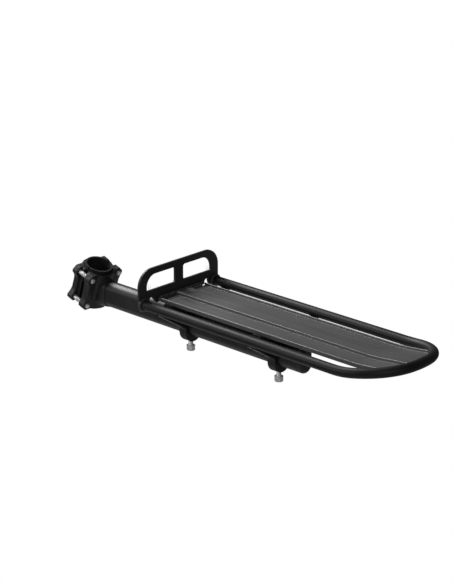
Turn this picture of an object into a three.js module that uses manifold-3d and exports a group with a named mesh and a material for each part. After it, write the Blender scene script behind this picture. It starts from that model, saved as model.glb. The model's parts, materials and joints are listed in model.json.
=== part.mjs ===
// A seat-post rear rack: a beam clamped to the seat post, and a deck with its rail loop that slides along
// the beam on two hangers. Millimetres, +X rearward, +Y to the rider's right, +Z up. The origin is where
// the seat post's axis crosses the beam's axis.
import * as THREE from "three";
import { ConvexGeometry } from "three/addons/geometries/ConvexGeometry.js";
import { mergeVertices } from "three/addons/utils/BufferGeometryUtils.js";
import Module from "manifold-3d";

const GAP = 0.3;

// Seat-post clamp. Its pieces are drawn upright, with +X rearward, and then leaned back with the post.
const POST_LEAN = THREE.MathUtils.degToRad(18.1);
const LINER_INNER_R = 15.9;
const LINER_OUTER_R = 18;
const BORE_R = LINER_OUTER_R + GAP;
const SLEEVE_R = 22;
const CLAMP_BOTTOM = -17.8;
const CLAMP_TOP = 33.2;
const LINER_BOTTOM = -20.5;
const LINER_TOP = 37.5;
const SPLIT_HALF_GAP = 3;
const REAR_FLANGE = [6.1, 15.7];
const FRONT_FLANGE = [-16.5, -8.5];
const REAR_WAIST = 26.2;
const FRONT_WAIST = 23.6;
const BOLT_Y = 22.7;
const BOLT_HEIGHTS = { upper: 27, lower: -11.6 };
const EAR_R = 6.7;
const EAR_CHAMFER = 5;

// M6 hardware
const BOLT_R = 3;
const BOLT_HOLE_R = 3.35;
const HEX_FLATS = 10;
const WASHER = { innerR: 3.4, outerR: 5.1, thickness: 1 };
const NUT_THICKNESS = 4.6;
const NUT_POCKET = NUT_THICKNESS + WASHER.thickness + GAP;
const HEAD_R = 5;
const HEAD_HEIGHT = 4;
const HEAD_BORE_R = 5.5;
const BOLT_END = 18.2;

// Beam
const BEAM_WIDTH = 21;
const BEAM_HEIGHT = 34;
const BEAM_WALL = 2;
const BEAM_FRONT = 27.5;
const BEAM_REAR = 359.5;
const NECK_FRONT = 14;
const NECK_REAR = 32.5;
const NECK_WALL = 0.9;
const CAP_REAR = 368.3;
const CAP_PLUG_LENGTH = 14;

// Deck plate and rail loop
const DECK_TOP = 34.4; // the two outer planks; the middle plank and the rims stand higher
const DECK_HALF_WIDTH = 39.7;
const DECK_THICKNESS = 2.2;
const RIM_RISE = 3.1;
const RIM_THICKNESS = 1.8;
const PLANK_EDGE = 11.2;
const PLANK_RISE = 4;
const PLANK_HOLLOW = 9;
const RAIL_R = 6;
const RAIL_WALL = 1.5;
const RAIL_Y = 62.5;
const RAIL_Z = 33.3;
const RAIL_FRONT = 158;
const BEND_START = 456.8;
const BEND_LENGTH = 76.4;
const BEND_SQUARENESS = 2.36; // exponent of the bend's outline: 2 is an ellipse
// The rear end is bent up: slope is the rise per length behind the bend.
const RAIL_KICK = { start: 460, end: 485, slope: 0.149 };
const DECK_KICK = { start: 464, end: 488, slope: 0.11 };

// Front hoop
const HOOP_FRONT = 154.5;
const HOOP_REAR = 157.7;
const HOOP_HALF_WIDTH = 69.2;
const HOOP_TOP = 76.2;
const HOOP_CORNER_R = 22;
const HOOP_LEG_WIDTH = 18.4;
const HOOP_LEG_BOTTOM = 27.5;
const HOOP_BAND_BOTTOM = 38.8;
const HOOP_CENTRE_BOTTOM = 30;
const HOOP_CENTRE_HALF = 42;
const WINDOW_BOTTOM = 48.4;
const WINDOW_TOP = 67.8;
const WINDOW_INNER = 7.2;
const WINDOW_OUTER = 55.5;
const HOOP_WELD_R = 2.9;
const HOOP_WELD_HALF = 39.5;
const HOOP_WELD_Z = 37;
const DECK_FRONT = HOOP_REAR + 2 * (GAP + HOOP_WELD_R);

// Hangers
const HANGER_X = { front: 176.8, rear: 323.8 };
const HANGER_THICKNESS = 12.4;
const HANGER_WEB = 3;
const HANGER_TOP = DECK_TOP - DECK_THICKNESS - GAP;
const WING_TOP = 28;
const HANGER_HALF_WIDTH = 14.2;
const HANGER_BOTTOM = -25.3;
const HANGER_HOLE_GAP = 0.4;
const PAD_R = 5.2;
const PAD_TOP = -17.3;
const PAD_BOTTOM = -20.2;
const SET_BOLT_FLANGE_TOP = -31.4;
const SET_BOLT_HEAD_BOTTOM = -38.2;

const wasm = await Module();
wasm.setup();

// ---- solids ----

function toSolid(geometry) {
  const bare = geometry.clone();
  bare.deleteAttribute("normal");
  bare.deleteAttribute("uv");
  const merged = mergeVertices(bare, 1e-4);
  const vertProperties = merged.attributes.position.array;
  const triVerts = new Uint32Array(merged.index.array);
  return new wasm.Manifold(new wasm.Mesh({ numProp: 3, vertProperties, triVerts }));
}

function toGeometry(solid) {
  const mesh = solid.getMesh();
  const geometry = new THREE.BufferGeometry();
  geometry.setAttribute("position", new THREE.BufferAttribute(new Float32Array(mesh.vertProperties), 3));
  geometry.setIndex(new THREE.BufferAttribute(new Uint32Array(mesh.triVerts), 1));
  const faceted = geometry.toNonIndexed();
  faceted.computeVertexNormals();
  return faceted;
}

function union(...geometries) {
  return toGeometry(geometries.map(toSolid).reduce((sum, next) => sum.add(next)));
}

function cut(geometry, ...tools) {
  return toGeometry(tools.map(toSolid).reduce((rest, tool) => rest.subtract(tool), toSolid(geometry)));
}

function common(first, second) {
  return toGeometry(toSolid(first).intersect(toSolid(second)));
}

const AXIS_BASES = {
  x: new THREE.Matrix4().makeBasis(
    new THREE.Vector3(0, 1, 0),
    new THREE.Vector3(0, 0, 1),
    new THREE.Vector3(1, 0, 0),
  ),
  z: new THREE.Matrix4(),
};

// Extrudes a shape along +X (the shape is drawn in Y and Z) or along +Z (drawn in X and Y).
function extrude(axis, shape, from, to, curveSegments = 6) {
  const geometry = new THREE.ExtrudeGeometry(shape, { depth: to - from, bevelEnabled: false, curveSegments });
  geometry.translate(0, 0, from);
  return geometry.applyMatrix4(AXIS_BASES[axis]);
}

// A solid of revolution from [radius, height] points. Its axis is Z.
function turned(points, segments = 24) {
  const profile = points.map(([radius, height]) => new THREE.Vector2(radius, height));
  return new THREE.LatheGeometry(profile, segments).rotateX(Math.PI / 2);
}

function rod(radius, from, to, segments = 24) {
  return turned([[0, from], [radius, from], [radius, to], [0, to]], segments);
}

// Turns a piece whose axis is Z so that its axis is X.
function alongX(geometry) {
  return geometry.rotateY(Math.PI / 2);
}

// ---- outlines ----

// A slot shape with flat upright sides and rounded ends, centred on the origin.
function uprightSlot(width, height) {
  const radius = width / 2;
  const straight = height / 2 - radius;
  const shape = new THREE.Shape();
  shape.absarc(0, straight, radius, 0, Math.PI, false);
  shape.absarc(0, -straight, radius, Math.PI, 2 * Math.PI, false);
  shape.closePath();
  return shape;
}

// Points of an upright slot outline at one place along X, raised by lift.
function slotOutline(width, height, x, lift) {
  const points = uprightSlot(width, height).getPoints(8);
  return points.map((point) => new THREE.Vector3(x, point.x, point.y + lift));
}

function hexagon(flats) {
  const shape = new THREE.Shape();
  const corner = flats / Math.sqrt(3);
  for (let i = 0; i < 6; i++) {
    const angle = (i * Math.PI) / 3;
    const point = [corner * Math.cos(angle), corner * Math.sin(angle)];
    if (i === 0) shape.moveTo(...point);
    else shape.lineTo(...point);
  }
  shape.closePath();
  return shape;
}

function circle(radius) {
  return new THREE.Shape().absarc(0, 0, radius, 0, 2 * Math.PI, false);
}

// Half of a ring seen from above. side is +1 for the rear half and -1 for the front half.
function halfRing(innerR, outerR, flat, side) {
  const outerAngle = Math.acos(flat / outerR);
  const innerAngle = Math.acos(flat / innerR);
  const turn = side > 0 ? 0 : Math.PI;
  const shape = new THREE.Shape();
  shape.absarc(0, 0, outerR, turn - outerAngle, turn + outerAngle, false);
  shape.absarc(0, 0, innerR, turn + innerAngle, turn - innerAngle, true);
  shape.closePath();
  return shape;
}

// One ear of a flange, from the flange's middle round to its side: a square end with the outer corner
// cut off. up is 1 for an upper ear and -1 for a lower one.
function earCorner(height, up) {
  const side = BOLT_Y + EAR_R;
  return [
    [BOLT_Y - EAR_R / 2, height + up * EAR_R],
    [side - EAR_CHAMFER, height + up * EAR_R],
    [side, height + up * (EAR_R - EAR_CHAMFER)],
    [side, height - up * EAR_R * 0.3],
  ];
}

// A flange with four ears, drawn in Y and Z. waist is its half width between the upper and lower ears.
function earedFlange(waist) {
  const middle = (BOLT_HEIGHTS.upper + BOLT_HEIGHTS.lower) / 2;
  const lower = earCorner(BOLT_HEIGHTS.lower, -1);
  const upper = earCorner(BOLT_HEIGHTS.upper, 1).reverse();
  const shape = new THREE.Shape();
  shape.moveTo(...lower[0]);
  for (const point of lower.slice(1)) shape.lineTo(...point);
  shape.bezierCurveTo(waist, middle - 11, waist, middle - 9, waist, middle);
  shape.bezierCurveTo(waist, middle + 9, waist, middle + 11, ...upper[0]);
  for (const point of upper.slice(1)) shape.lineTo(...point);
  for (const [y, z] of [...upper].reverse()) shape.lineTo(-y, z);
  shape.bezierCurveTo(-waist, middle + 11, -waist, middle + 9, -waist, middle);
  shape.bezierCurveTo(-waist, middle - 9, -waist, middle - 11, -lower[3][0], lower[3][1]);
  for (const [y, z] of [...lower.slice(0, 3)].reverse()) shape.lineTo(-y, z);
  shape.closePath();
  return shape;
}

// ---- clamp ----

const BOLT_PLACES = [];
for (const [level, height] of Object.entries(BOLT_HEIGHTS)) {
  for (const [side, sign] of [["left", -1], ["right", 1]]) {
    BOLT_PLACES.push({ name: `${level}_${side}`, y: sign * BOLT_Y, z: height });
  }
}

function leaned(geometry) {
  return geometry.rotateY(POST_LEAN);
}

function postBore() {
  return rod(BORE_R, -80, 80, 40);
}

function boltHoles(from, to) {
  return BOLT_PLACES.map((place) => alongX(rod(BOLT_HOLE_R, from, to, 16)).translate(0, place.y, place.z));
}

function nutPockets() {
  const pocketStart = REAR_FLANGE[1] - NUT_POCKET;
  const pocket = hexagon(HEX_FLATS + 2 * GAP);
  return BOLT_PLACES.map((place) => extrude("x", pocket, pocketStart, 30).translate(0, place.y, place.z));
}

function headBores() {
  const floor = FRONT_FLANGE[0] + HEAD_HEIGHT + GAP;
  return BOLT_PLACES.map((place) => alongX(rod(HEAD_BORE_R, -30, floor, 20)).translate(0, place.y, place.z));
}

function halfSleeve(side) {
  const ring = halfRing(BORE_R - 1, SLEEVE_R, SPLIT_HALF_GAP, side);
  return extrude("z", ring, CLAMP_BOTTOM, CLAMP_TOP, 18);
}

function rearClampShell() {
  const flange = extrude("x", earedFlange(REAR_WAIST), ...REAR_FLANGE);
  const casting = cut(union(halfSleeve(1), flange), ...nutPockets());
  const root = slotOutline(26, 43, NECK_FRONT, 2);
  const mouth = slotOutline(BEAM_WIDTH + 2 * NECK_WALL, BEAM_HEIGHT + 2 * NECK_WALL, NECK_REAR, 0);
  const neck = new ConvexGeometry([...root, ...mouth]);
  const socket = uprightSlot(BEAM_WIDTH + 2 * GAP, BEAM_HEIGHT + 2 * GAP);
  const beamSocket = extrude("x", socket, BEAM_FRONT - GAP, NECK_REAR + 1, 8);
  const whole = cut(union(leaned(casting), neck), beamSocket);
  return cut(whole, leaned(postBore()), ...boltHoles(-30, 30).map(leaned));
}

function frontClampShell() {
  const flange = extrude("x", earedFlange(FRONT_WAIST), ...FRONT_FLANGE);
  return leaned(cut(union(halfSleeve(-1), flange), postBore(), ...boltHoles(-30, 30), ...headBores()));
}

function liner(side) {
  return leaned(extrude("z", halfRing(LINER_INNER_R, LINER_OUTER_R, 1, side), LINER_BOTTOM, LINER_TOP, 20));
}

function clampBolt() {
  const headFront = FRONT_FLANGE[0];
  const headRear = headFront + HEAD_HEIGHT;
  const bolt = alongX(turned([
    [0, headFront],
    [HEAD_R - 0.5, headFront],
    [HEAD_R, headFront + 0.5],
    [HEAD_R, headRear],
    [BOLT_R, headRear],
    [BOLT_R, BOLT_END - 0.8],
    [BOLT_R - 0.8, BOLT_END],
    [0, BOLT_END],
  ], 18));
  return cut(bolt, extrude("x", hexagon(4), headFront - 1, headFront + 2.4));
}

function clampWasher() {
  const front = REAR_FLANGE[1] - NUT_POCKET + GAP / 2;
  const ring = circle(WASHER.outerR);
  ring.holes.push(circle(WASHER.innerR));
  return extrude("x", ring, front, front + WASHER.thickness, 8);
}

function clampNut() {
  const nut = hexagon(HEX_FLATS);
  nut.holes.push(circle(BOLT_HOLE_R));
  return extrude("x", nut, REAR_FLANGE[1] - NUT_THICKNESS + GAP, REAR_FLANGE[1] + GAP, 8);
}

// ---- beam ----

function mainBeam() {
  const section = uprightSlot(BEAM_WIDTH, BEAM_HEIGHT);
  section.holes.push(uprightSlot(BEAM_WIDTH - 2 * BEAM_WALL, BEAM_HEIGHT - 2 * BEAM_WALL));
  return extrude("x", section, BEAM_FRONT, BEAM_REAR, 10);
}

function beamEndCap() {
  const lipFront = BEAM_REAR + GAP;
  const rounding = 5;
  const lip = new THREE.ExtrudeGeometry(uprightSlot(BEAM_WIDTH - 2 * rounding, BEAM_HEIGHT - 2 * rounding), {
    depth: CAP_REAR - lipFront - rounding,
    bevelThickness: rounding,
    bevelSize: rounding,
    bevelSegments: 4,
    curveSegments: 8,
  });
  lip.applyMatrix4(AXIS_BASES.x).translate(lipFront, 0, 0);
  const inside = 2 * (BEAM_WALL + GAP);
  const plugOutline = uprightSlot(BEAM_WIDTH - inside, BEAM_HEIGHT - inside);
  const plug = extrude("x", plugOutline, lipFront - CAP_PLUG_LENGTH, lipFront + 1, 8);
  const frontTrim = extrude("x", uprightSlot(BEAM_WIDTH + 10, BEAM_HEIGHT + 10), lipFront - 10, lipFront, 4);
  return union(cut(lip, frontTrim), plug);
}

// ---- deck and rail loop ----

// How far the upward bend has lifted the deck or the rails at one place along X.
function kick(x, { start, end, slope }) {
  const run = THREE.MathUtils.clamp((x - start) / (end - start), 0, 1);
  const bent = (slope * (end - start) * run * run) / 2;
  return bent + slope * Math.max(0, x - end);
}

// A path through listed points with one sweep station at each of them.
class StationPath extends THREE.Curve {
  constructor(points) {
    super();
    this.points = points;
  }

  getPoint(t) {
    const place = THREE.MathUtils.clamp(t, 0, 1) * (this.points.length - 1);
    const index = Math.min(Math.floor(place), this.points.length - 2);
    return this.points[index].clone().lerp(this.points[index + 1], place - index);
  }

  getUtoTmapping(u) {
    return u;
  }
}

function sweep(shape, points, curveSegments = 4) {
  return new THREE.ExtrudeGeometry(shape, {
    extrudePath: new StationPath(points),
    steps: points.length - 1,
    curveSegments,
  });
}

// Points of the rear bend seen from above, from the left rail round to the right one, moved inwards by inset.
function bendOutline(inset, count) {
  const points = [];
  const power = 2 / BEND_SQUARENESS;
  for (let i = 0; i <= count; i++) {
    const angle = -Math.PI / 2 + (i * Math.PI) / count;
    const cos = Math.max(0, Math.cos(angle));
    const sin = Math.sin(angle);
    const along = BEND_START + BEND_LENGTH * cos ** power;
    const across = RAIL_Y * Math.sign(sin) * Math.abs(sin) ** power;
    const slope = new THREE.Vector2(
      cos ** (2 - power) / BEND_LENGTH,
      (Math.sign(sin) * Math.abs(sin) ** (2 - power)) / RAIL_Y,
    ).normalize();
    points.push(new THREE.Vector2(along, across).addScaledVector(slope, -inset));
  }
  return points;
}

// The deck's half section from the middle outwards: [across, height above the outer planks].
const DECK_SECTION = [
  [0, PLANK_RISE],
  [PLANK_EDGE - 0.5, PLANK_RISE],
  [PLANK_EDGE, PLANK_RISE - 0.5],
  [PLANK_EDGE, 0],
  [DECK_HALF_WIDTH - RIM_THICKNESS, 0],
  [DECK_HALF_WIDTH - RIM_THICKNESS, RIM_RISE - 0.3],
  [DECK_HALF_WIDTH - RIM_THICKNESS + 0.3, RIM_RISE],
  [DECK_HALF_WIDTH - 0.6, RIM_RISE],
  [DECK_HALF_WIDTH, RIM_RISE - 0.6],
  [DECK_HALF_WIDTH, -DECK_THICKNESS],
  [PLANK_HOLLOW, -DECK_THICKNESS],
  [PLANK_HOLLOW, PLANK_RISE - DECK_THICKNESS],
  [0, PLANK_RISE - DECK_THICKNESS],
];

function deckPlate() {
  const mirrored = DECK_SECTION.slice(1, -1).reverse().map(([across, height]) => [-across, height]);
  // The sweep lays the shape's first axis downwards and its second axis to the right.
  const section = new THREE.Shape(
    [...DECK_SECTION, ...mirrored].map(([across, height]) => new THREE.Vector2(-height, across)),
  );
  const stations = [DECK_FRONT, DECK_KICK.start - 40];
  for (let i = 0; i <= 5; i++) stations.push(DECK_KICK.start + (i * (DECK_KICK.end - DECK_KICK.start)) / 5);
  stations.push(BEND_START + BEND_LENGTH + 5);
  const line = stations.map((x) => new THREE.Vector3(x, 0, DECK_TOP + kick(x, DECK_KICK)));
  const strip = sweep(section, line);
  const outline = [
    new THREE.Vector2(DECK_FRONT - 5, -RAIL_Y),
    ...bendOutline(RAIL_R + 2 * GAP, 40),
    new THREE.Vector2(DECK_FRONT - 5, RAIL_Y),
  ];
  return common(strip, extrude("z", new THREE.Shape(outline), 0, 90));
}

function railLoop() {
  const bend = bendOutline(0, 40).map((point) => new THREE.Vector3(point.x, point.y, 0));
  const straight = (y, xs) => xs.map((x) => new THREE.Vector3(x, y, 0));
  const points = [
    ...straight(-RAIL_Y, [RAIL_FRONT, BEND_START - 60]),
    ...bend,
    ...straight(RAIL_Y, [BEND_START - 60, RAIL_FRONT]),
  ];
  for (const point of points) point.z = RAIL_Z + kick(point.x, RAIL_KICK);
  const section = circle(RAIL_R);
  section.holes.push(circle(RAIL_R - RAIL_WALL));
  return sweep(section, points, 10);
}

// ---- front hoop ----

function hoopWindow(sign) {
  const shape = new THREE.Path();
  const corner = 3;
  const outerCorner = 15;
  const x = (value) => sign * value;
  shape.moveTo(x(WINDOW_INNER), WINDOW_BOTTOM + corner);
  shape.lineTo(x(WINDOW_INNER), WINDOW_TOP - corner);
  shape.quadraticCurveTo(x(WINDOW_INNER), WINDOW_TOP, x(WINDOW_INNER + corner), WINDOW_TOP);
  shape.lineTo(x(WINDOW_OUTER - outerCorner), WINDOW_TOP);
  const arcEnd = sign > 0 ? 0 : Math.PI;
  const [arcY, arcZ] = [x(WINDOW_OUTER - outerCorner), WINDOW_TOP - outerCorner];
  shape.absarc(arcY, arcZ, outerCorner, Math.PI / 2, arcEnd, sign > 0);
  shape.lineTo(x(WINDOW_OUTER), WINDOW_BOTTOM + 1.5);
  shape.quadraticCurveTo(x(WINDOW_OUTER), WINDOW_BOTTOM, x(WINDOW_OUTER - 1.5), WINDOW_BOTTOM);
  shape.lineTo(x(WINDOW_INNER + corner), WINDOW_BOTTOM);
  shape.quadraticCurveTo(x(WINDOW_INNER), WINDOW_BOTTOM, x(WINDOW_INNER), WINDOW_BOTTOM + corner);
  return shape;
}

function frontHoop() {
  const legR = HOOP_LEG_WIDTH / 2;
  const legY = HOOP_HALF_WIDTH - legR;
  const legInner = HOOP_HALF_WIDTH - HOOP_LEG_WIDTH;
  const legArcZ = HOOP_LEG_BOTTOM + legR;
  const shoulder = HOOP_HALF_WIDTH - HOOP_CORNER_R;
  const shape = new THREE.Shape();
  shape.moveTo(-HOOP_CENTRE_HALF + 2, HOOP_CENTRE_BOTTOM);
  shape.lineTo(HOOP_CENTRE_HALF - 2, HOOP_CENTRE_BOTTOM);
  shape.lineTo(HOOP_CENTRE_HALF, HOOP_CENTRE_BOTTOM + 2);
  shape.quadraticCurveTo(legInner - 5, HOOP_BAND_BOTTOM, legInner - 2.5, HOOP_BAND_BOTTOM);
  shape.quadraticCurveTo(legInner, HOOP_BAND_BOTTOM, legInner, HOOP_BAND_BOTTOM - 2.5);
  shape.absarc(legY, legArcZ, legR, Math.PI, 2 * Math.PI, false);
  shape.absarc(shoulder, HOOP_TOP - HOOP_CORNER_R, HOOP_CORNER_R, 0, Math.PI / 2, false);
  shape.absarc(-shoulder, HOOP_TOP - HOOP_CORNER_R, HOOP_CORNER_R, Math.PI / 2, Math.PI, false);
  shape.absarc(-legY, legArcZ, legR, Math.PI, 2 * Math.PI, false);
  shape.lineTo(-legInner, HOOP_BAND_BOTTOM - 2.5);
  shape.quadraticCurveTo(-legInner, HOOP_BAND_BOTTOM, 2.5 - legInner, HOOP_BAND_BOTTOM);
  shape.quadraticCurveTo(5 - legInner, HOOP_BAND_BOTTOM, -HOOP_CENTRE_HALF, HOOP_CENTRE_BOTTOM + 2);
  shape.closePath();
  shape.holes.push(hoopWindow(1), hoopWindow(-1));
  return extrude("x", shape, HOOP_FRONT, HOOP_REAR, 10);
}

function hoopWeld() {
  const bead = rod(HOOP_WELD_R, -HOOP_WELD_HALF, HOOP_WELD_HALF, 16).rotateX(Math.PI / 2);
  return bead.translate(HOOP_REAR + GAP + HOOP_WELD_R, 0, HOOP_WELD_Z);
}

function railWeld(side) {
  const ring = turned([
    [RAIL_R + GAP, 0],
    [RAIL_R + GAP + 2.2, 0],
    [RAIL_R + GAP + 1.5, 2.4],
    [RAIL_R + GAP, 3.6],
    [RAIL_R + GAP, 0],
  ], 20);
  return alongX(ring).translate(HOOP_REAR + GAP, side * RAIL_Y, RAIL_Z);
}

// ---- hangers ----

// The outline of a hanger: a ring round the beam and two wings that reach under the rails.
function hangerOutline() {
  const ringR = HANGER_HALF_WIDTH;
  const deckSide = DECK_HALF_WIDTH + GAP;
  const saddle = RAIL_R + GAP;
  const saddleEnd = Math.asin((RAIL_Z - WING_TOP) / saddle);
  const shape = new THREE.Shape();
  shape.absarc(0, HANGER_BOTTOM + ringR, ringR, Math.PI, 2 * Math.PI, false);
  shape.lineTo(ringR, -8);
  shape.quadraticCurveTo(ringR, -5.6, ringR + 2, -4.2);
  shape.lineTo(58, 23);
  shape.quadraticCurveTo(60, 24.6, RAIL_Y + 1.5, 24.8);
  shape.lineTo(RAIL_Y + 1.5, RAIL_Z - saddle + 0.2);
  shape.absarc(RAIL_Y, RAIL_Z, saddle, -Math.PI / 2, saddleEnd - Math.PI, true);
  shape.lineTo(deckSide, WING_TOP);
  shape.lineTo(deckSide, HANGER_TOP);
  shape.lineTo(-deckSide, HANGER_TOP);
  shape.lineTo(-deckSide, WING_TOP);
  shape.absarc(-RAIL_Y, RAIL_Z, saddle, -saddleEnd, -Math.PI / 2, true);
  shape.lineTo(-RAIL_Y - 1.5, RAIL_Z - saddle + 0.2);
  shape.lineTo(-RAIL_Y - 1.5, 24.8);
  shape.quadraticCurveTo(-60, 24.6, -58, 23);
  shape.lineTo(-ringR - 2, -4.2);
  shape.quadraticCurveTo(-ringR, -5.6, -ringR, -8);
  shape.closePath();
  return shape;
}

// The recess in one wing. Both faces of the hanger have it, with a web left between them.
function wingRecess(sign) {
  const corners = [[15.5, 29], [15.5, 0.5], [46, 20.6], [46, 25], [38, 25], [36, 29]];
  return new THREE.Shape(corners.map(([y, z]) => new THREE.Vector2(sign * y, z)));
}

function hanger(centre) {
  const half = HANGER_THICKNESS / 2;
  const outline = hangerOutline();
  outline.holes.push(uprightSlot(BEAM_WIDTH + 2 * HANGER_HOLE_GAP, BEAM_HEIGHT + 2 * HANGER_HOLE_GAP));
  const body = extrude("x", outline, centre - half, centre + half, 8);
  const tools = [];
  for (const sign of [1, -1]) {
    const recess = wingRecess(sign);
    tools.push(extrude("x", recess, centre + HANGER_WEB / 2, centre + half + 5));
    tools.push(extrude("x", recess, centre - half - 5, centre - HANGER_WEB / 2));
  }
  const top = PAD_TOP + 5;
  tools.push(rod(PAD_R + GAP, PAD_BOTTOM - GAP, top, 20).translate(centre, 0, 0));
  tools.push(rod(BOLT_HOLE_R, HANGER_BOTTOM - 5, top, 16).translate(centre, 0, 0));
  return cut(body, ...tools);
}

function pressurePad(centre) {
  return rod(PAD_R, PAD_BOTTOM, PAD_TOP, 20).translate(centre, 0, 0);
}

function setBolt(centre) {
  const flangeBottom = SET_BOLT_FLANGE_TOP - 1.2;
  const head = extrude("z", hexagon(9.4), SET_BOLT_HEAD_BOTTOM, flangeBottom + 0.5);
  const stem = turned([
    [0, flangeBottom],
    [5.5, flangeBottom],
    [5.5, SET_BOLT_FLANGE_TOP],
    [BOLT_R, SET_BOLT_FLANGE_TOP],
    [BOLT_R, PAD_BOTTOM - GAP - 0.8],
    [BOLT_R - 0.8, PAD_BOTTOM - GAP],
    [0, PAD_BOTTOM - GAP],
  ], 20);
  return union(head, stem).translate(centre, 0, 0);
}

// ---- materials and assembly ----

const MATERIALS = {
  casting: { color: 0x1b1b1a, roughness: 0.45, metalness: 0.3 },
  beam: { color: 0x2b2b2a, roughness: 0.4, metalness: 0.5 },
  deck: { color: 0x55565a, roughness: 0.5, metalness: 0.6 },
  rail: { color: 0x262627, roughness: 0.4, metalness: 0.5 },
  hoop: { color: 0x2a2b2a, roughness: 0.55, metalness: 0.3 },
  steel: { color: 0xc8c9cb, roughness: 0.3, metalness: 0.95 },
  rubber: { color: 0x101010, roughness: 0.85, metalness: 0 },
  plastic: { color: 0x1c1c1c, roughness: 0.5, metalness: 0 },
};

const rack = new THREE.Group();
rack.name = "seat_post_rear_rack";

function add(name, geometry, material) {
  const mesh = new THREE.Mesh(geometry, new THREE.MeshStandardMaterial(MATERIALS[material]));
  mesh.name = name;
  rack.add(mesh);
}

add("rear_clamp_shell", rearClampShell(), "casting");
add("front_clamp_shell", frontClampShell(), "casting");
add("liner_rear", liner(1), "rubber");
add("liner_front", liner(-1), "rubber");
for (const place of BOLT_PLACES) {
  const put = (geometry) => leaned(geometry.translate(0, place.y, place.z));
  add(`clamp_bolt_${place.name}`, put(clampBolt()), "steel");
  add(`clamp_washer_${place.name}`, put(clampWasher()), "steel");
  add(`clamp_nut_${place.name}`, put(clampNut()), "steel");
}
add("main_beam", mainBeam(), "beam");
add("beam_end_cap", beamEndCap(), "plastic");
add("deck_plate", deckPlate(), "deck");
add("rail_loop", railLoop(), "rail");
add("front_hoop", frontHoop(), "hoop");
add("hoop_weld", hoopWeld(), "hoop");
for (const [side, sign] of [["left", -1], ["right", 1]]) {
  add(`rail_weld_${side}`, railWeld(sign), "rail");
}
for (const [place, centre] of Object.entries(HANGER_X)) {
  add(`hanger_${place}`, hanger(centre), "casting");
  add(`set_bolt_${place}`, setBolt(centre), "steel");
  add(`pressure_pad_${place}`, pressurePad(centre), "steel");
}

export default rack;
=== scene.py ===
"""The looks of a seat-post rear rack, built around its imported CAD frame.

Shapes are drawn in millimetres and scaled to metres as they become pieces. +X rearward, +Y to the rider's
right, +Z up. The origin is where the seat post's axis crosses the beam's axis.
"""
import json
import math

import bmesh
import bpy
import numpy as np
from mathutils import Matrix, Vector, noise


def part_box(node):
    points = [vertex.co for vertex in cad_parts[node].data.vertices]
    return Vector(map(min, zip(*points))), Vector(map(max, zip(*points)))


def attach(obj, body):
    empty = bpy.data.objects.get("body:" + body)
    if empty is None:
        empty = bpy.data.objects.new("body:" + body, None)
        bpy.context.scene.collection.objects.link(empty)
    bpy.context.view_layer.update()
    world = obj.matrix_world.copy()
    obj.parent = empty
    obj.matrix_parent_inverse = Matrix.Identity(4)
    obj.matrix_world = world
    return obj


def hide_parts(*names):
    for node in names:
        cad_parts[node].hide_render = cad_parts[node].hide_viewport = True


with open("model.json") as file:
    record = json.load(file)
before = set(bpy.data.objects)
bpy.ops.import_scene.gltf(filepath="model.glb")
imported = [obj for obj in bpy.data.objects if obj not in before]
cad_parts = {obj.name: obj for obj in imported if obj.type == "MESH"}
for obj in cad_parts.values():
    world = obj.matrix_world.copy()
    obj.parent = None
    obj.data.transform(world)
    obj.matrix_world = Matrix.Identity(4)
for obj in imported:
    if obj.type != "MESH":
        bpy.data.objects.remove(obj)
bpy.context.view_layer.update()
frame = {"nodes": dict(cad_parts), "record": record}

MM = 0.001
TO_METRES = Matrix.Scale(MM, 4)
HERE = Matrix.Identity(4)
SHARP_ANGLE = math.radians(32)
NODES = frame["nodes"]
SIDES = ("left", "right")
LEVELS = ("upper", "lower")
ENDS = ("front", "rear")


def box_mm(node):
    """Lowest and highest corner of a CAD node, in millimetres."""
    low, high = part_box(node)
    return low / MM, high / MM


def mount(name):
    return next(m for m in frame["record"]["mounts"] if m["name"] == name)


# ---- dimensions ----

POST_AXIS = Vector(mount("seatpost_clamp")["axis"])
POST_LEAN = math.atan2(POST_AXIS.x, POST_AXIS.z)
CLAMP_AXES = Matrix.Rotation(POST_LEAN, 4, "Y")

BEAM_LOW, BEAM_HIGH = box_mm("main_beam")
BEAM_WIDTH = BEAM_HIGH.y - BEAM_LOW.y
BEAM_HEIGHT = BEAM_HIGH.z - BEAM_LOW.z
BEAM_WALL = 2
CAP_LOW, CAP_HIGH = box_mm("beam_end_cap")
CAP_LIP = 8.5
CAP_ROUNDING = 5

RAIL_LOW, RAIL_HIGH = box_mm("rail_loop")
RAIL_R = 6
RAIL_WALL = 1.5
RAIL_Y = RAIL_HIGH.y - RAIL_R
RAIL_Z = RAIL_LOW.z + RAIL_R
BEND_START = 456.8
BEND_LENGTH = RAIL_HIGH.x - RAIL_R - BEND_START
BEND_SQUARENESS = 2.36
RAIL_KICK = {"start": 460, "end": 485, "slope": 0.149}

DECK_LOW, DECK_HIGH = box_mm("deck_plate")
DECK_HALF_WIDTH = DECK_HIGH.y
DECK_THICKNESS = 2.2
DECK_TOP = DECK_LOW.z + DECK_THICKNESS
DECK_INSET = 6.6
DECK_STRAIGHT_END = 440
RIM_RISE = 3.1
RIM_THICKNESS = 1.8
PLANK_RISE = 4
PLANK_EDGE = 11.2
PLANK_HOLLOW = 9
DECK_KICK = {"start": 464, "end": 488, "slope": 0.11}

HOOP_LOW, HOOP_HIGH = box_mm("front_hoop")
HOOP_CORNER_R = 22
HOOP_LEG_WIDTH = 18.4
HOOP_BAND_BOTTOM = 38.8
HOOP_CENTRE_BOTTOM = 30
HOOP_CENTRE_HALF = 42
WINDOW_Y = (7.2, 55.5)
WINDOW_Z = (48.4, 67.8)

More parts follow.
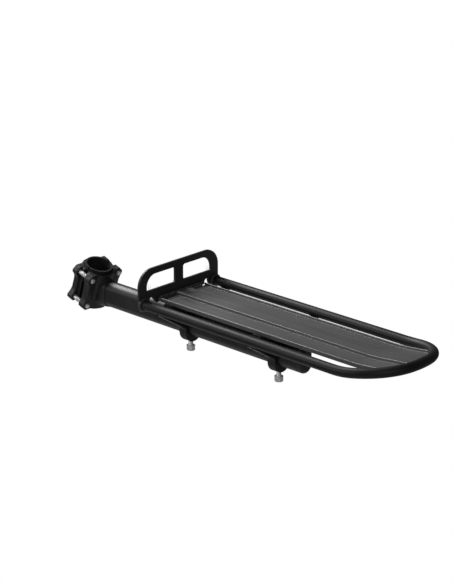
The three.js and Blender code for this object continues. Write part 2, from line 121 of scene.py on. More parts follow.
BOLT_R = 3
THREAD_PITCH = 1
THREAD_DEPTH = 0.38
BOLT_Y = 22.7
BOLT_HEIGHTS = {"upper": 27, "lower": -11.6}
BOLT_HEAD_FRONT = -16.5
BOLT_END = 18.2
NUT_FLATS = 10
NUT_FRONT = 11.4
NUT_REAR = 16
WASHER_FRONT = 9.95
HEAD_R = 5
HEAD_HEIGHT = 4
SOCKET_FLATS = 5
SOCKET_DEPTH = 2.6
SOCKET_MOUTH_R = 3.05
THREAD_START = -3.5
SET_BOLT_FLATS = 9.4
SET_BOLT_HEAD = 5.6
SET_BOLT_FLANGE = 1.2

HOOP_BEAD_R = 2.6
RAIL_BEAD_R = 1.75
PUDDLE_LENGTH = {"hoop": 2.6, "rail": 2.1}


# ---- outlines and rings ----

def arc(centre, radius, start, end, count=6):
    """Points of an arc from one angle to another, in degrees."""
    angles = [math.radians(start + (end - start) * i / count) for i in range(count + 1)]
    return [(centre[0] + radius * math.cos(a), centre[1] + radius * math.sin(a)) for a in angles]


def slot_outline(width, height):
    """An upright slot with flat sides and rounded ends, centred on the origin."""
    radius = width / 2
    straight = height / 2 - radius
    count = 20
    return arc((0, straight), radius, 0, 180, count) + arc((0, -straight), radius, 180, 360, count)


def quadratic(start, control, end, count=6):
    points = []
    for i in range(1, count + 1):
        t = i / count
        points.append(tuple(
            (1 - t) ** 2 * a + 2 * t * (1 - t) * b + t * t * c for a, b, c in zip(start, control, end)
        ))
    return points


def across_x(outline, x):
    """An outline drawn in Y and Z, as a ring at one place along X."""
    return [Vector((x, y, z)) for y, z in outline]


def round_ring(radius, height, segments, radius_at=None):
    """A ring about Z. radius_at(angle) may hold its radius below the given one."""
    ring = []
    for i in range(segments):
        angle = 2 * math.pi * i / segments
        r = radius if radius_at is None else min(radius, radius_at(angle))
        ring.append(Vector((r * math.cos(angle), r * math.sin(angle), height)))
    return ring


def hexagon_radius(flats):
    """The distance from a hexagon's middle to its edge, as a function of angle."""
    def radius_at(angle):
        return flats / 2 / math.cos((angle + math.pi / 6) % (math.pi / 3) - math.pi / 6)
    return radius_at


def knurl_radius(radius, ridges, depth):
    def radius_at(angle):
        return radius - depth * (0.5 - 0.5 * math.cos(ridges * angle))
    return radius_at


def thread_rings(start, end, segments):
    """Rings of a right-hand thread about Z that fades in at its start and out at its end."""
    per_turn = 6
    count = round(abs(end - start) / THREAD_PITCH * per_turn)
    rings = []
    for i in range(count + 1):
        height = start + (end - start) * i / count
        fade = min(1, i / per_turn, (count - i) / per_turn)
        ring = []
        for j in range(segments):
            angle = 2 * math.pi * j / segments
            phase = (height / THREAD_PITCH - angle / (2 * math.pi)) % 1
            r = BOLT_R - fade * THREAD_DEPTH * (1 - abs(2 * phase - 1))
            ring.append(Vector((r * math.cos(angle), r * math.sin(angle), height)))
        rings.append(ring)
    return rings


def kick(x, bend):
    """How far the rear end's upward bend has lifted a rail or the deck."""
    length = bend["end"] - bend["start"]
    run = min(max((x - bend["start"]) / length, 0), 1)
    return bend["slope"] * (length * run * run / 2 + max(0, x - bend["end"]))


def bend_outline(inset, count):
    """The rear bend seen from above, from the left rail round to the right one, moved inwards by inset."""
    points = []
    power = 2 / BEND_SQUARENESS
    for i in range(count + 1):
        angle = -math.pi / 2 + math.pi * i / count
        cos = max(0, math.cos(angle))
        sin = math.sin(angle)
        side = math.copysign(1, sin)
        outward = Vector((cos ** (2 - power) / BEND_LENGTH, side * abs(sin) ** (2 - power) / RAIL_Y))
        along = Vector((BEND_START + BEND_LENGTH * cos ** power, RAIL_Y * side * abs(sin) ** power))
        points.append(along - inset * outward.normalized())
    return points


# ---- meshes ----

def closed_mesh(name, rings, wrap=False):
    """A closed skin through rings of equal count. wrap joins the last ring to the first, with no caps."""
    count = len(rings[0])
    bm = bmesh.new()
    grid = [[bm.verts.new(point) for point in ring] for ring in rings]
    pairs = list(zip(grid, grid[1:]))
    if wrap:
        pairs.append((grid[-1], grid[0]))
    for first, second in pairs:
        for j in range(count):
            k = (j + 1) % count
            bm.faces.new((first[j], first[k], second[k], second[j]))
    if not wrap:
        bm.faces.new(grid[0][::-1])
        bm.faces.new(grid[-1])
    bmesh.ops.recalc_face_normals(bm, faces=bm.faces)
    mesh = bpy.data.meshes.new(name)
    bm.to_mesh(mesh)
    bm.free()
    return mesh


def plate_mesh(name, loops, front, rear, rounding):
    """A flat plate across X with rounded edges. The first loop is its outline, and the others are holes."""
    curve = bpy.data.curves.new(name, "CURVE")
    curve.dimensions = "2D"
    curve.fill_mode = "BOTH"
    curve.extrude = (rear - front) / 2 - rounding
    curve.bevel_depth = rounding
    curve.bevel_resolution = 3
    curve.offset = -rounding
    for loop in loops:
        spline = curve.splines.new("POLY")
        spline.points.add(len(loop) - 1)
        for point, (y, z) in zip(spline.points, loop):
            point.co = (y, z, 0, 1)
        spline.use_cyclic_u = True
    holder = bpy.data.objects.new(name, curve)
    bpy.context.scene.collection.objects.link(holder)
    bpy.context.view_layer.update()
    shown = holder.evaluated_get(bpy.context.evaluated_depsgraph_get())
    mesh = bpy.data.meshes.new_from_object(shown)
    bpy.data.objects.remove(holder)
    bpy.data.curves.remove(curve)
    mesh.name = name
    bm = bmesh.new()
    bm.from_mesh(mesh)
    bmesh.ops.remove_doubles(bm, verts=bm.verts, dist=0.002)
    bmesh.ops.recalc_face_normals(bm, faces=bm.faces)
    bm.to_mesh(mesh)
    bm.free()
    across = Matrix(((0, 0, 1, (front + rear) / 2), (1, 0, 0, 0), (0, 1, 0, 0), (0, 0, 0, 1)))
    mesh.transform(across)
    return mesh


def shade(mesh):
    """Smooth shading, with edges sharper than SHARP_ANGLE kept."""
    mesh.polygons.foreach_set("use_smooth", [True] * len(mesh.polygons))
    mesh.set_sharp_from_angle(angle=SHARP_ANGLE)


def add_piece(name, mesh, place, body, material, replaced):
    """Turns a mesh in millimetres into a piece that rides on a body and stands for one CAD node."""
    mesh.transform(TO_METRES @ place)
    mesh.materials.clear()
    mesh.materials.append(material)
    shade(mesh)
    piece = bpy.data.objects.new(name, mesh)
    bpy.context.scene.collection.objects.link(piece)
    weighted = piece.modifiers.new("weighted_normals", "WEIGHTED_NORMAL")
    weighted.keep_sharp = True
    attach(piece, body)
    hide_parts(replaced)


# ---- material helpers ----

class Surface:
    """A node material with one Principled shader, and short calls for the nodes that feed it."""

    def __init__(self, name, roughness, metallic=0.0, specular=0.5):
        self.material = bpy.data.materials.new(name)
        self.material.use_nodes = True
        self.nodes = self.material.node_tree.nodes
        self.links = self.material.node_tree.links
        self.shader = self.nodes["Principled BSDF"]
        self.shader.inputs["Roughness"].default_value = roughness
        self.shader.inputs["Metallic"].default_value = metallic
        self.shader.inputs["Specular IOR Level"].default_value = specular
        self.place = self.nodes.new("ShaderNodeTexCoord").outputs["Object"]

    def link(self, source, target):
        self.links.new(source, target)

    def stretched(self, scale):
        """Object coordinates scaled along each axis."""
        mapping = self.nodes.new("ShaderNodeMapping")
        mapping.inputs["Scale"].default_value = scale
        self.link(self.place, mapping.inputs["Vector"])
        return mapping.outputs["Vector"]

    def noise(self, scale, detail, rough=0.5, vector=None):
        node = self.nodes.new("ShaderNodeTexNoise")
        node.inputs["Scale"].default_value = scale
        node.inputs["Detail"].default_value = detail
        node.inputs["Roughness"].default_value = rough
        self.link(vector or self.place, node.inputs["Vector"])
        return node.outputs["Fac"]

    def voronoi(self, scale):
        node = self.nodes.new("ShaderNodeTexVoronoi")
        node.inputs["Scale"].default_value = scale
        self.link(self.place, node.inputs["Vector"])
        return node.outputs["Distance"]

    def math(self, operation, first, second):
        node = self.nodes.new("ShaderNodeMath")
        node.operation = operation
        for socket, value in zip(node.inputs, (first, second)):
            if isinstance(value, (int, float)):
                socket.default_value = value
            else:
                self.link(value, socket)
        return node.outputs["Value"]

    def spread(self, value, low, high, to_low=0.0, to_high=1.0):
        """Maps low..high to to_low..to_high, and holds the ends."""
        node = self.nodes.new("ShaderNodeMapRange")
        for socket, number in zip(("From Min", "From Max", "To Min", "To Max"), (low, high, to_low, to_high)):
            node.inputs[socket].default_value = number
        self.link(value, node.inputs["Value"])
        return node.outputs["Result"]

    def mix(self, share, first, second):
        """Mixes two colours, each a colour or a socket."""
        node = self.nodes.new("ShaderNodeMix")
        node.data_type = "RGBA"
        self.link(share, node.inputs["Factor"])
        for socket, value in zip((node.inputs[6], node.inputs[7]), (first, second)):
            if isinstance(value, tuple):
                socket.default_value = (*value, 1)
            else:
                self.link(value, socket)
        return node.outputs[2]

    def edges(self, radius):
        """1 on edges and 0 on flats, from how far the normal turns within radius."""
        bevel = self.nodes.new("ShaderNodeBevel")
        bevel.samples = 4
        bevel.inputs["Radius"].default_value = radius
        geometry = self.nodes.new("ShaderNodeNewGeometry")
        dot = self.nodes.new("ShaderNodeVectorMath")
        dot.operation = "DOT_PRODUCT"
        self.link(bevel.outputs["Normal"], dot.inputs[0])
        self.link(geometry.outputs["Normal"], dot.inputs[1])
        return self.spread(dot.outputs["Value"], 0.99, 0.86)

    def colour(self, source):
        self.link(source, self.shader.inputs["Base Color"])

    def roughness(self, source):
        self.link(source, self.shader.inputs["Roughness"])

    def bump(self, *layers):
        """Each layer is (height, distance in metres), from the broadest to the finest."""
        normal = None
        for height, distance in layers:
            node = self.nodes.new("ShaderNodeBump")
            node.inputs["Distance"].default_value = distance
            self.link(height, node.inputs["Height"])
            if normal is not None:
                self.link(normal, node.inputs["Normal"])
            normal = node.outputs["Normal"]
        self.link(normal, self.shader.inputs["Normal"])


COAT_WARMTH = 0.02


def grey(value, warmth=0.0):
    return (value * (1 + warmth), value, value * (1 - warmth))


def coated(name, tone, roughness, grain, wear, specular=0.5):
    """Black coating on aluminium: an uneven film, rubbed at its edges. grain is a bump height in metres."""
    s = Surface(name, roughness, specular=specular)
    cloud = s.noise(18, 4)
    speck = s.noise(900, 2)
    dark, light = grey(tone * 0.75, COAT_WARMTH), grey(tone * 1.25, COAT_WARMTH)
    film = s.mix(s.spread(cloud, 0.35, 0.65), dark, light)
    dusty = s.mix(s.spread(speck, 0.62, 0.8, 0, 0.35), film, grey(tone * 2.4, COAT_WARMTH))
    rubbed = s.math("MULTIPLY", s.edges(0.0007), s.spread(s.noise(260, 4, 0.65), 0.42, 0.68, 0, wear))
    s.colour(s.mix(rubbed, dusty, grey(0.16)))
    s.roughness(s.math("ADD", s.spread(cloud, 0.3, 0.7, roughness - 0.05, roughness + 0.06),
                       s.spread(speck, 0.3, 0.7, -0.03, 0.05)))
    s.bump((s.noise(700, 3, 0.6), grain))
    return s.material


def casting(name, specular):
    """Die-cast aluminium under a black paint: a pebbled skin with soft lumps."""
    s = Surface(name, 0.5, specular=specular)
    cloud = s.noise(40, 4)
    pebble = s.voronoi(900)
    film = s.mix(s.spread(cloud, 0.35, 0.65), grey(0.007, 0.03), grey(0.016, 0.03))
    rubbed = s.math("MULTIPLY", s.edges(0.0009), s.spread(s.noise(300, 4, 0.7), 0.45, 0.7, 0, 0.5))
    s.colour(s.mix(rubbed, film, grey(0.13)))
    s.roughness(s.spread(s.noise(300, 4), 0.3, 0.7, 0.4, 0.62))
    s.bump((s.noise(150, 3), 0.00012), (pebble, 0.00005), (s.noise(1800, 2), 0.00002))
    return s.material


def deck_metal():
    """Dark anodised aluminium with the fine lengthwise lines that its die leaves."""
    s = Surface("deck_metal", 0.42, metallic=0.55, specular=0.5)
    fine = s.noise(1.0, 4, 0.7, s.stretched((9, 2600, 2600)))
    broad = s.noise(1.0, 3, 0.5, s.stretched((3, 320, 320)))
    cloud = s.noise(14, 4)
    base = s.mix(s.spread(broad, 0.3, 0.7), grey(0.085, 0.005), grey(0.125, 0.005))
    lined = s.mix(s.spread(fine, 0.35, 0.7, 0, 0.45), base, grey(0.18))
    rubbed = s.math("MULTIPLY", s.edges(0.0007), s.spread(s.noise(220, 4, 0.6), 0.4, 0.65, 0, 0.6))
    s.colour(s.mix(rubbed, lined, grey(0.3)))
    s.roughness(s.math("ADD", s.spread(cloud, 0.3, 0.7, 0.38, 0.46), s.spread(fine, 0.3, 0.7, -0.04, 0.06)))
    s.bump((broad, 0.00003), (fine, 0.00002))
    return s.material


def bright_steel(name, tone, roughness):
    """Zinc-plated steel with turning marks and dull patches."""
    s = Surface(name, roughness, metallic=0.85)
    cloud = s.noise(220, 4)
    marks = s.noise(1.0, 3, 0.6, s.stretched((700, 700, 5200)))
    plate = s.mix(s.spread(cloud, 0.35, 0.65), (tone * 0.86, tone * 0.87, tone * 0.88), (tone, tone, tone))
    patches = s.spread(s.noise(600, 4, 0.7), 0.58, 0.75, 0, 0.4)
    dull = s.mix(patches, plate, (tone * 0.55, tone * 0.53, tone * 0.5))
    s.colour(dull)
    s.roughness(s.math("ADD", s.spread(cloud, 0.3, 0.7, roughness - 0.05, roughness + 0.12),
                       s.spread(marks, 0.3, 0.7, -0.03, 0.05)))
    s.bump((marks, 0.00002))
    return s.material


def liner_rubber():
    s = Surface("liner_rubber", 0.8, specular=0.3)
    cloud = s.noise(60, 4)
    s.colour(s.mix(s.spread(cloud, 0.35, 0.65), grey(0.006), grey(0.014)))
    s.roughness(s.spread(s.noise(500, 4), 0.3, 0.7, 0.7, 0.9))
    s.bump((s.noise(420, 3), 0.00006), (s.noise(2400, 2), 0.00002))
    return s.material


CLAMP_CASTING = casting("clamp_casting", 0.42)
HANGER_CASTING = casting("hanger_casting", 0.28)
BEAM_COAT = coated("beam_coat", 0.016, 0.36, 0.00001, wear=0.35, specular=0.32)
RAIL_COAT = coated("rail_coat", 0.013, 0.44, 0.00001, wear=0.4, specular=0.15)
HOOP_COAT = coated("hoop_coat", 0.016, 0.5, 0.00002, wear=0.7)
WELD_COAT = coated("weld_coat", 0.02, 0.36, 0.00003, wear=0.7)
CAP_PLASTIC = coated("cap_plastic", 0.014, 0.5, 0.00003, wear=0.2)
NUT_STEEL = coated("black_nut_steel", 0.02, 0.36, 0.00002, wear=0.8)
DECK_METAL = deck_metal()
ZINC = bright_steel("zinc_steel", tone=0.85, roughness=0.44)
RUBBER = liner_rubber()


# ---- rails ----

def tube_rings(path, radius, segments):
    rings = []
    for i, point in enumerate(path):
        ahead = path[min(i + 1, len(path) - 1)] - path[max(i - 1, 0)]
        side = ahead.cross(Vector((0, 0, 1))).normalized()
        up = side.cross(ahead).normalized()
        turns = [2 * math.pi * j / segments for j in range(segments)]
        rings.append([point + radius * (math.cos(a) * side + math.sin(a) * up) for a in turns])
    return rings


def rail_path():
    straight = np.linspace(RAIL_LOW.x, BEND_START, 14)[:-1]
    flat = [(x, -RAIL_Y) for x in straight]
    flat += [tuple(point) for point in bend_outline(0, 128)]
    flat += [(x, RAIL_Y) for x in straight[::-1]]
    return [Vector((x, y, RAIL_Z + kick(x, RAIL_KICK))) for x, y in flat]


def make_rail_loop():
    path = rail_path()
    outer = tube_rings(path, RAIL_R, 40)
    inner = tube_rings(path, RAIL_R - RAIL_WALL, 40)
    mesh = closed_mesh("rail_tube", outer + inner[::-1], wrap=True)
    add_piece("rail_tube", mesh, HERE, "carriage", RAIL_COAT, "rail_loop")


# ---- deck ----

def deck_half_section():
    """The deck's half section from its middle outwards, over the rim and back under: (across, height)."""
    rim = DECK_HALF_WIDTH - RIM_THICKNESS
    under = -DECK_THICKNESS
    hollow = PLANK_RISE - DECK_THICKNESS
    soft, root, edge = 0.6, 0.5, 0.7
    points = [(0, PLANK_RISE), (PLANK_EDGE * 0.5, PLANK_RISE)]
    points += arc((PLANK_EDGE - soft, PLANK_RISE - soft), soft, 90, 0)
    points += arc((PLANK_EDGE + root, root), root, 180, 270, 4)
    points += [((PLANK_EDGE + rim) / 2, 0)]
    points += arc((rim - root, root), root, 270, 360, 4)
    points += arc((rim + edge, RIM_RISE - edge), edge, 180, 90)
    points += arc((DECK_HALF_WIDTH - edge, RIM_RISE - edge), edge, 90, 0)
    points += arc((DECK_HALF_WIDTH - soft, under + soft), soft, 0, -90, 4)
    points += [((PLANK_HOLLOW + rim) / 2, under), (PLANK_HOLLOW, under)]
    points += arc((PLANK_HOLLOW - root, hollow - root), root, 0, 90, 4)
    points += [(0, hollow)]
    return points


def deck_rear_end(across):
    """Where the deck ends, just inside the rail's bend, at one distance from the middle."""
    outline = [point for point in bend_outline(DECK_INSET, 400) if point.y >= 0]
    return np.interp(across, [point.y for point in outline], [point.x for point in outline])


def make_deck():
    half = deck_half_section()
    section = half + [(-y, z) for y, z in half[-2:0:-1]]
    ends = deck_rear_end([abs(y) for y, _ in section])
    rings = [across_x([(y, DECK_TOP + z) for y, z in section], x)
             for x in np.linspace(DECK_LOW.x, DECK_STRAIGHT_END, 10)[:-1]]
    for share in np.linspace(0, 1, 30):
        ring = []
        for (y, z), end in zip(section, ends):
            x = DECK_STRAIGHT_END + share * (end - DECK_STRAIGHT_END)
            ring.append(Vector((x, y, DECK_TOP + z + kick(x, DECK_KICK))))
        rings.append(ring)
    mesh = closed_mesh("deck", rings)
    add_piece("deck", mesh, HERE, "carriage", DECK_METAL, "deck_plate")


# ---- hoop and welds ----

def hoop_outline():
    leg_r = HOOP_LEG_WIDTH / 2
    leg_inner = HOOP_HIGH.y - HOOP_LEG_WIDTH
    shoulder = HOOP_HIGH.y - HOOP_CORNER_R
    notch = 2.5
    half = [(0, HOOP_CENTRE_BOTTOM)]
    half += [(HOOP_CENTRE_HALF - 2, HOOP_CENTRE_BOTTOM), (HOOP_CENTRE_HALF, HOOP_CENTRE_BOTTOM + 2)]
    band_end = leg_inner - notch
    half += quadratic(half[-1], (band_end - notch, HOOP_BAND_BOTTOM), (band_end, HOOP_BAND_BOTTOM), 8)
    half += quadratic(half[-1], (leg_inner, HOOP_BAND_BOTTOM), (leg_inner, HOOP_BAND_BOTTOM - notch))
    half += arc((HOOP_HIGH.y - leg_r, HOOP_LOW.z + leg_r), leg_r, 180, 360, 24)
    half += arc((shoulder, HOOP_HIGH.z - HOOP_CORNER_R), HOOP_CORNER_R, 0, 90, 16)
    return half + [(-y, z) for y, z in half[:0:-1]]


def window_outline(sign):
    inner, outer = WINDOW_Y
    bottom, top = WINDOW_Z
    corner, outer_corner, foot = 3, 15, 1.5
    points = arc((inner + corner, top - corner), corner, 180, 90)
    points += arc((outer - outer_corner, top - outer_corner), outer_corner, 90, 0, 14)
    points += arc((outer - foot, bottom + foot), foot, 0, -90, 4)
    points += arc((inner + corner, bottom + corner), corner, -90, -180)
    return [(sign * y, z) for y, z in points]


def make_hoop():
    loops = [hoop_outline(), window_outline(1), window_outline(-1)]
    mesh = plate_mesh("hoop", loops, HOOP_LOW.x, HOOP_HIGH.x, 0.7)
    add_piece("hoop", mesh, HERE, "carriage", HOOP_COAT, "front_hoop")


def bead_rings(path, radius, ripple):
    """A weld bead along a path: overlapping puddles, each a little different."""
    rings = tube_rings(path, 1, 18)
    along = 0
    for i, point in enumerate(path):
        if i:
            along += (point - path[i - 1]).length
        puddle = (along / ripple) % 1
        swell = 1 + 0.2 * math.sin(math.pi * puddle) ** 0.7 - 0.12
        drift = 0.2 * noise.noise(point * 0.23)
        end = min(1, (i + 0.6) / 3, (len(path) - 0.4 - i) / 3) ** 0.5
        r = radius * (swell + drift) * end
        rings[i] = [point + (p - point) * r for p in rings[i]]
    return rings


def make_hoop_weld():
    """The bead between the hoop's rear face and the deck's front edge."""
    low, high = box_mm("hoop_weld")
    middle = (low + high) / 2
    count = 220
    path = []
    for i in range(count + 1):
        y = low.y + (high.y - low.y) * i / count
        wander = 0.25 * noise.noise(Vector((y * 0.11, 3.1, 0)))
        path.append(Vector((middle.x + wander * 0.5, y, middle.z + wander)))
    mesh = closed_mesh("hoop_bead", bead_rings(path, HOOP_BEAD_R, PUDDLE_LENGTH["hoop"]))
    add_piece("hoop_bead", mesh, HERE, "carriage", WELD_COAT, "hoop_weld")


def make_rail_weld(side):
    """The bead round a rail where it meets the hoop."""
    low, high = box_mm(f"rail_weld_{side}")
    middle = (low + high) / 2
    count = 150
    major = RAIL_R + 0.7
    rings = []
    for i in range(count):
        angle = 2 * math.pi * i / count
        outward = Vector((0, math.cos(angle), math.sin(angle)))
        puddle = (angle * major / PUDDLE_LENGTH["rail"]) % 1
        swell = 0.18 * math.sin(math.pi * puddle) ** 0.7
        size = RAIL_BEAD_R * (1 + swell + 0.16 * noise.noise(outward * 1.7 + middle))
        turns = [2 * math.pi * j / 16 for j in range(16)]
        rings.append([
            Vector((low.x + 0.9, middle.y, middle.z)) + outward * (major + size * math.cos(a))
            + Vector((size * math.sin(a), 0, 0)) for a in turns
        ])
    mesh = closed_mesh(f"rail_bead_{side}", rings, wrap=True)
    add_piece(f"rail_bead_{side}", mesh, HERE, "carriage", WELD_COAT, f"rail_weld_{side}")


# ---- beam ----

def slot_ring(inset, x):
    return across_x(slot_outline(BEAM_WIDTH - 2 * inset, BEAM_HEIGHT - 2 * inset), x)


def make_beam():
    chamfer = 0.4
    front, rear = BEAM_LOW.x, BEAM_HIGH.x
    outer = [slot_ring(chamfer, front), slot_ring(0, front + chamfer)]
    outer += [slot_ring(0, x) for x in np.linspace(front, rear, 12)[1:-1]]
    outer += [slot_ring(0, rear - chamfer), slot_ring(chamfer, rear)]
    inner = [slot_ring(BEAM_WALL, rear), slot_ring(BEAM_WALL, front)]
    mesh = closed_mesh("beam", outer + inner, wrap=True)
    add_piece("beam", mesh, HERE, "frame", BEAM_COAT, "main_beam")


def make_beam_cap():
    """A plug inside the beam with a rounded lip behind it."""
    inside = BEAM_WALL + 0.3
    lip_front = CAP_HIGH.x - CAP_LIP
    rings = [slot_ring(inside + 0.8, CAP_LOW.x), slot_ring(inside, CAP_LOW.x + 1.5)]
    rings += [slot_ring(inside, lip_front)]
    rings += [slot_ring(0.4, lip_front), slot_ring(0, lip_front + 0.4)]
    for angle in np.linspace(0, math.pi / 2, 9):
        inset = CAP_ROUNDING * (1 - math.cos(angle))
        rings.append(slot_ring(inset, CAP_HIGH.x - CAP_ROUNDING * (1 - math.sin(angle))))
    mesh = closed_mesh("end_cap", rings)
    add_piece("end_cap", mesh, HERE, "frame", CAP_PLASTIC, "beam_end_cap")


# ---- fasteners ----

def clamp_place(level, side):
    """The place of a clamp bolt's axis: its own Z runs rearward through the two flanges."""
    y = -BOLT_Y if side == "left" else BOLT_Y
    return CLAMP_AXES @ Matrix.Translation((0, y, BOLT_HEIGHTS[level])) @ Matrix.Rotation(math.pi / 2, 4, "Y")


def hex_prism_rings(flats, low, high, segments, top=True):
    """Rings up a hexagon. A 30 degree cone cuts back its corners at the bottom, and at the top if asked."""
    corner = flats / math.sqrt(3)
    start_r = flats / 2 * 0.97
    rise = (corner - start_r) * math.tan(math.radians(30))
    shape = hexagon_radius(flats)
    shares = [i / 4 for i in range(5)]

    def cut_back(share, height):
        return round_ring(start_r + (corner - start_r) * share, height, segments, shape)

    rings = [cut_back(share, low + rise * share) for share in shares]
    if top:
        rings += [cut_back(share, high - rise * share) for share in shares[::-1]]
    else:
        rings.append(round_ring(corner, high, segments, shape))
    return rings


def make_clamp_bolt(level, side):
    """A socket-head bolt. Its thread starts behind the front flange."""
    segments = 48
    face = BOLT_HEAD_FRONT
    socket = hexagon_radius(SOCKET_FLATS)
    knurl = knurl_radius(HEAD_R, 24, 0.16)
    rings = [
        round_ring(SOCKET_MOUTH_R, face + SOCKET_DEPTH, segments, socket),
        round_ring(SOCKET_MOUTH_R, face + 0.3, segments, socket),
        round_ring(SOCKET_MOUTH_R, face, segments),
        round_ring(HEAD_R - 0.7, face, segments),
        round_ring(HEAD_R - 0.25, face + 0.15, segments),
        round_ring(HEAD_R - 0.1, face + 0.5, segments),
        round_ring(HEAD_R, face + 0.8, segments, knurl),
        round_ring(HEAD_R, face + HEAD_HEIGHT - 0.3, segments, knurl),
        round_ring(HEAD_R - 0.2, face + HEAD_HEIGHT, segments),
        round_ring(BOLT_R + 0.3, face + HEAD_HEIGHT, segments),
        round_ring(BOLT_R, face + HEAD_HEIGHT + 0.4, segments),
    ]
    rings += thread_rings(THREAD_START, BOLT_END - 0.8, segments)
    rings.append(round_ring(BOLT_R - 0.7, BOLT_END - 0.1, segments))
    rings.append(round_ring(BOLT_R - 0.9, BOLT_END, segments))
    name = f"clamp_screw_{level}_{side}"
    add_piece(name, closed_mesh(name, rings), clamp_place(level, side), "clamp_front", ZINC,
              f"clamp_bolt_{level}_{side}")


def make_clamp_washer(level, side):
    inner, outer, thickness, rounding = 3.4, 5.1, 1, 0.2
    low, high = WASHER_FRONT, WASHER_FRONT + thickness
    profile = [(inner, low + rounding), (inner + rounding, low)]
    profile += [(outer - rounding, low), (outer, low + rounding)]
    profile += [(outer, high - rounding), (outer - rounding, high)]
    profile += [(inner + rounding, high), (inner, high - rounding)]
    name = f"washer_{level}_{side}"
    mesh = closed_mesh(name, [round_ring(r, z, 40) for r, z in profile], wrap=True)
    add_piece(name, mesh, clamp_place(level, side), "frame", ZINC, f"clamp_washer_{level}_{side}")


def make_clamp_nut(level, side):
    segments = 72
    hole = BOLT_R + 0.15
    rings = hex_prism_rings(NUT_FLATS, NUT_FRONT, NUT_REAR, segments)
    rings += [round_ring(hole + 0.5, NUT_REAR, segments), round_ring(hole, NUT_REAR - 0.5, segments)]
    rings += [round_ring(hole, NUT_FRONT + 0.5, segments), round_ring(hole + 0.5, NUT_FRONT, segments)]
    name = f"hex_nut_{level}_{side}"
    mesh = closed_mesh(name, rings, wrap=True)
    add_piece(name, mesh, clamp_place(level, side), "frame", NUT_STEEL,
              f"clamp_nut_{level}_{side}")


def make_set_bolt(end):
    """A flanged hexagon bolt, head down, that presses the pad against the beam."""
    low, high = box_mm(f"set_bolt_{end}")
    segments = 72
    flange_r = (high.y - low.y) / 2
    flange_low = low.z + SET_BOLT_HEAD
    flange_high = flange_low + SET_BOLT_FLANGE
    rings = hex_prism_rings(SET_BOLT_FLATS, low.z, flange_low, segments, top=False)
    rings += [
        round_ring(flange_r - 0.15, flange_low, segments),
        round_ring(flange_r, flange_low + 0.3, segments),
        round_ring(flange_r, flange_high - 0.3, segments),
        round_ring(flange_r - 0.3, flange_high, segments),
        round_ring(BOLT_R + 0.2, flange_high, segments),
        round_ring(BOLT_R - 0.3, flange_high + 0.3, segments),
    ]
    rings += thread_rings(flange_high + 0.5, high.z - 0.8, segments)
    rings += [round_ring(BOLT_R - 0.8, high.z, segments)]
    name = f"flange_bolt_{end}"
    place = Matrix.Translation(((low.x + high.x) / 2, 0, 0))
    add_piece(name, closed_mesh(name, rings), place, f"set_bolt_{end}", ZINC, f"set_bolt_{end}")


def make_pressure_pad(end):
    low, high = box_mm(f"pressure_pad_{end}")
    radius = (high.y - low.y) / 2
    chamfer = 0.4
    profile = [(radius - chamfer, low.z), (radius, low.z + chamfer)]
    profile += [(radius, high.z - chamfer), (radius - chamfer, high.z)]
    name = f"pad_{end}"
    mesh = closed_mesh(name, [round_ring(r, z, 40) for r, z in profile])
    place = Matrix.Translation(((low.x + high.x) / 2, 0, 0))
    add_piece(name, mesh, place, "carriage", ZINC, f"pressure_pad_{end}")


# ---- castings and liners keep their CAD shapes ----

def dress_casting(node, material):
    """Gives a CAD solid the soft edges and small fillets of a casting."""
    piece = NODES[node]
    piece.data.materials.clear()
    piece.data.materials.append(material)
    skin = piece.modifiers.new("cast_skin", "REMESH")
    skin.mode = "VOXEL"
    skin.voxel_size = 0.5 * MM
    skin.use_smooth_shade = True
    soften = piece.modifiers.new("cast_edges", "SMOOTH")
    soften.factor = 0.5
    soften.iterations = 5


def dress_liner(node):
    piece = NODES[node]
    piece.data.materials.clear()
    piece.data.materials.append(RUBBER)
    shade(piece.data)
    edges = piece.modifiers.new("soft_edges", "BEVEL")
    edges.width = 0.4 * MM
    edges.segments = 3
    edges.angle_limit = math.radians(40)
    piece.modifiers.new("weighted_normals", "WEIGHTED_NORMAL").keep_sharp = True


make_rail_loop()
make_deck()
make_hoop()
make_hoop_weld()
make_beam()
make_beam_cap()
for side_name in SIDES:
    make_rail_weld(side_name)
    for level_name in LEVELS:
        make_clamp_bolt(level_name, side_name)
        make_clamp_washer(level_name, side_name)
        make_clamp_nut(level_name, side_name)
for end_name in ENDS:
    make_set_bolt(end_name)
    make_pressure_pad(end_name)
    dress_casting(f"hanger_{end_name}", HANGER_CASTING)
dress_casting("rear_clamp_shell", CLAMP_CASTING)
dress_casting("front_clamp_shell", CLAMP_CASTING)
dress_liner("liner_rear")
dress_liner("liner_front")


# ---- camera, floor and light ----

CAMERA_PLACE = Vector((1.6708, -1.5088, 0.7998))
CAMERA_AZIMUTH = math.radians(43.54)
CAMERA_ELEVATION = math.radians(19.74)
CAMERA_LENS = 113.1
RACK_MIDDLE = Vector((0.28, 0, 0.03))
FLOOR_DROP = 1.0
FLOOR_R = 14


def make_camera():
    data = bpy.data.cameras.new("camera")
    data.sensor_width = 36
    data.lens = CAMERA_LENS
    camera = bpy.data.objects.new("camera", data)
    back = Vector((
        math.sin(CAMERA_AZIMUTH) * math.cos(CAMERA_ELEVATION),
        -math.cos(CAMERA_AZIMUTH) * math.cos(CAMERA_ELEVATION),
        math.sin(CAMERA_ELEVATION),
    ))
    camera.location = CAMERA_PLACE
    camera.rotation_euler = (-back).to_track_quat("-Z", "Y").to_euler()
    bpy.context.scene.collection.objects.link(camera)
    bpy.context.scene.camera = camera


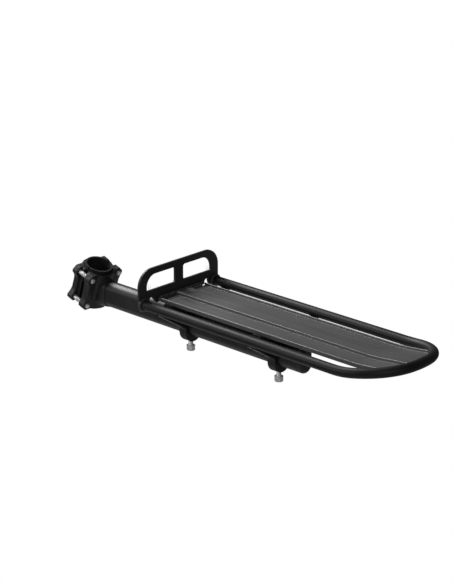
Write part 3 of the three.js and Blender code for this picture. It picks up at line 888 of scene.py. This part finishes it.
def camera_sees(nodes, links, lit, shown):
    """Mixes two shaders: shown for what the camera looks at, lit for everything that lights the rack."""
    rays = nodes.new("ShaderNodeLightPath")
    pick = nodes.new("ShaderNodeMixShader")
    links.new(rays.outputs["Is Camera Ray"], pick.inputs["Fac"])
    links.new(lit, pick.inputs[1])
    links.new(shown, pick.inputs[2])
    return pick.outputs["Shader"]


def make_floor():
    bm = bmesh.new()
    bmesh.ops.create_circle(bm, cap_ends=True, segments=96, radius=FLOOR_R)
    mesh = bpy.data.meshes.new("floor")
    bm.to_mesh(mesh)
    bm.free()
    floor = bpy.data.objects.new("floor", mesh)
    floor.location = (0.3, 0, -FLOOR_DROP)
    bpy.context.scene.collection.objects.link(floor)
    s = Surface("floor_paper", 0.9, specular=0)
    s.shader.inputs["Base Color"].default_value = (0.55, 0.55, 0.55, 1)
    paper = s.nodes.new("ShaderNodeEmission")
    paper.inputs["Strength"].default_value = 1
    s.link(camera_sees(s.nodes, s.links, s.shader.outputs["BSDF"], paper.outputs["Emission"]),
           s.nodes["Material Output"].inputs["Surface"])
    mesh.materials.append(s.material)


def make_softbox(name, direction, distance, size, power):
    """A square area light that faces the rack's middle from one direction."""
    data = bpy.data.lights.new(name, "AREA")
    data.shape = "SQUARE"
    data.size = size
    data.energy = power
    lamp = bpy.data.objects.new(name, data)
    toward = Vector(direction).normalized()
    lamp.location = RACK_MIDDLE + toward * distance
    lamp.rotation_euler = toward.to_track_quat("Z", "Y").to_euler()
    bpy.context.scene.collection.objects.link(lamp)


def make_world():
    """A dim grey room that the camera sees as white paper."""
    world = bpy.data.worlds.new("studio")
    world.use_nodes = True
    nodes, links = world.node_tree.nodes, world.node_tree.links
    room = nodes["Background"]
    room.inputs["Color"].default_value = (1, 1, 1, 1)
    room.inputs["Strength"].default_value = 0.11
    paper = nodes.new("ShaderNodeBackground")
    paper.inputs["Color"].default_value = (1, 1, 1, 1)
    paper.inputs["Strength"].default_value = 1.0
    picked = camera_sees(nodes, links, room.outputs["Background"], paper.outputs["Background"])
    links.new(picked, nodes["World Output"].inputs["Surface"])
    bpy.context.scene.world = world


make_camera()
make_floor()
make_world()
make_softbox("key_softbox", (-0.76, 0.04, 0.65), 1.7, 1.0, 42)
make_softbox("left_softbox", (-0.5, -0.85, 0.35), 2.2, 1.0, 14)
make_softbox("rear_softbox", (0.75, -0.5, 0.35), 2.2, 1.2, 9)
bpy.context.scene.view_settings.view_transform = "Standard"
